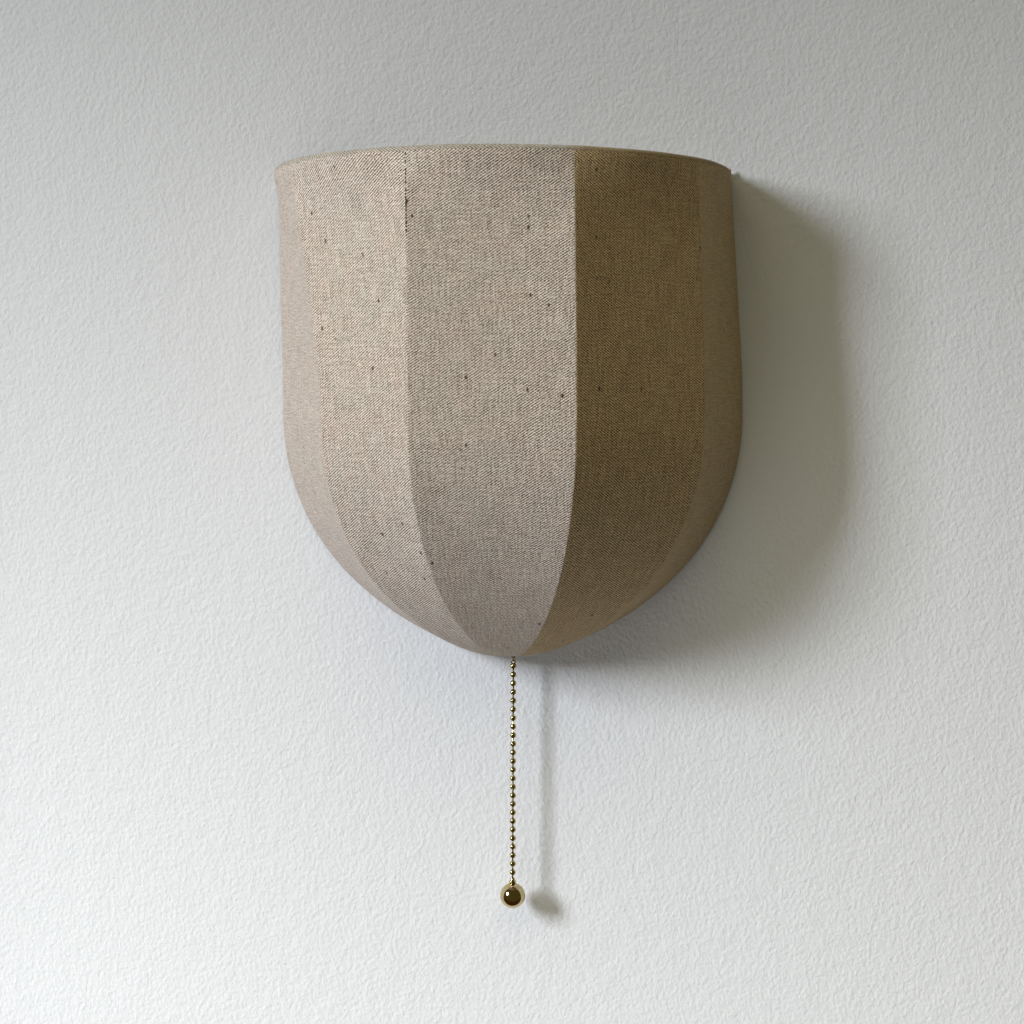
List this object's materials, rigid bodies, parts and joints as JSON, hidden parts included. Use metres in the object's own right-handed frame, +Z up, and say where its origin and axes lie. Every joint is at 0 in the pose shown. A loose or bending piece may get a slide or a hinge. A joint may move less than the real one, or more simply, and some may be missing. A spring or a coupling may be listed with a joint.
{
  "type": "wall light",
  "caption": "Half-round wall light with a stretched linen shade on a wire frame, an upright lamp behind it and a bead chain switch with a brass ball.",
  "frame": {"origin": "centre of the wall plate's two screw holes, on the wall's surface", "axes": "+X right along the wall, +Z up, -Y out of the wall into the room"},
  "size_m": [0.2318, 0.1135, 0.3678],
  "materials": {
    "linen": "natural linen, plain weave",
    "hem_linen": "natural linen, folded double",
    "frame_wire": "white powder coat",
    "plate_paint": "white powder coat",
    "zinc": "bright zinc plate",
    "spring_steel": "bright drawn wire",
    "polished_brass": "polished",
    "contact_brass": "as stamped",
    "black_moulding": "phenolic moulding",
    "white_moulding": "satin moulding",
    "grey_rubber": "moulded",
    "nylon": "natural nylon",
    "cap_nickel": "nickel-plated",
    "cap_glass": "black glass",
    "clear_glass": "clear",
    "stem_glass": "clear",
    "filament": "yellow coating",
    "lead_brown": "insulation",
    "lead_black": "insulation",
    "lead_blue": "insulation",
    "lead_green": "insulation, striped"
  },
  "bodies": {
    "wall_side": {"wall_plate": "plate_paint", "cable_grommet": "grey_rubber", "hanger_studs": "zinc", "canopy": "plate_paint", "canopy_screws": "zinc", "terminal_block": "white_moulding", "terminal_screws": "zinc", "earth_screw": "zinc", "switch_housing": "black_moulding", "switch_lid": "black_moulding", "switch_nipple": "polished_brass", "switch_nut": "polished_brass", "bell_mouth": "polished_brass", "rotor_pin": "zinc", "switch_contacts": "contact_brass", "lamp_arm": "plate_paint", "arm_nuts": "zinc", "holder_base": "white_moulding", "holder_barrel": "white_moulding", "holder_insulator": "white_moulding", "holder_sleeve": "contact_brass", "holder_contact": "contact_brass", "lamp_glass": "clear_glass", "lamp_cap": "cap_nickel", "lamp_cap_insulator": "cap_glass", "lamp_tip": "cap_nickel", "lamp_stem": "stem_glass", "lamp_filaments": "filament", "filament_supports": "spring_steel", "lead_line": "lead_brown", "lead_switched": "lead_black", "lead_neutral": "lead_blue", "lead_earth": "lead_green"},
    "shade": {"top_ring": "frame_wire", "foot_ring": "frame_wire", "rib_1": "frame_wire", "rib_2": "frame_wire", "rib_3": "frame_wire", "rib_4": "frame_wire", "rib_5": "frame_wire", "rib_6": "frame_wire", "shade_strap": "frame_wire", "top_hem": "hem_linen", "foot_hem": "hem_linen", "side_hem_left": "hem_linen", "side_hem_right": "hem_linen", "gore_1": "linen", "gore_2": "linen", "gore_3": "linen", "gore_4": "linen", "gore_5": "linen"},
    "pull": {"switch_plunger": "nylon", "return_spring": "spring_steel", "upper_chain": "polished_brass"},
    "rotor": {"switch_rotor": "nylon", "contact_bridge": "contact_brass"},
    "chain_link": {"jump_ring": "polished_brass"},
    "chain": {"pull_chain": "polished_brass", "chain_end_cap": "polished_brass", "pull_ball": "polished_brass"}
  },
  "joints": [
    {"name": "shade_lift", "type": "slide", "parent": "wall_side", "child": "shade", "axis": [0, 0, 1], "range_m": [0, 0.009]},
    {"name": "chain_pull", "type": "slide", "parent": "wall_side", "child": "pull", "axis": [0, 0, -1], "range_m": [0, 0.006], "stiffness_N_per_m": 300, "springref_m": -0.003, "deforming": ["return_spring"]},
    {"name": "rotor_turn", "type": "hinge", "parent": "wall_side", "child": "rotor", "pos_m": [0.0015, -0.0134, -0.025], "axis": [0, 1, 0], "range_deg": [0, 60]},
    {"name": "chain_swing_front", "type": "hinge", "parent": "pull", "child": "chain_link", "pos_m": [0.0025, -0.0134, -0.11035], "axis": [-1, 0, 0], "range_deg": [-3, 60]},
    {"name": "chain_swing_side", "type": "hinge", "parent": "chain_link", "child": "chain", "pos_m": [0.0025, -0.0134, -0.1122], "axis": [0, 1, 0], "range_deg": [-60, 60]}
  ],
  "couplings": [
    {"joint": "rotor_turn", "follows": "chain_pull", "rad_per_m": 174.53}
  ]
}
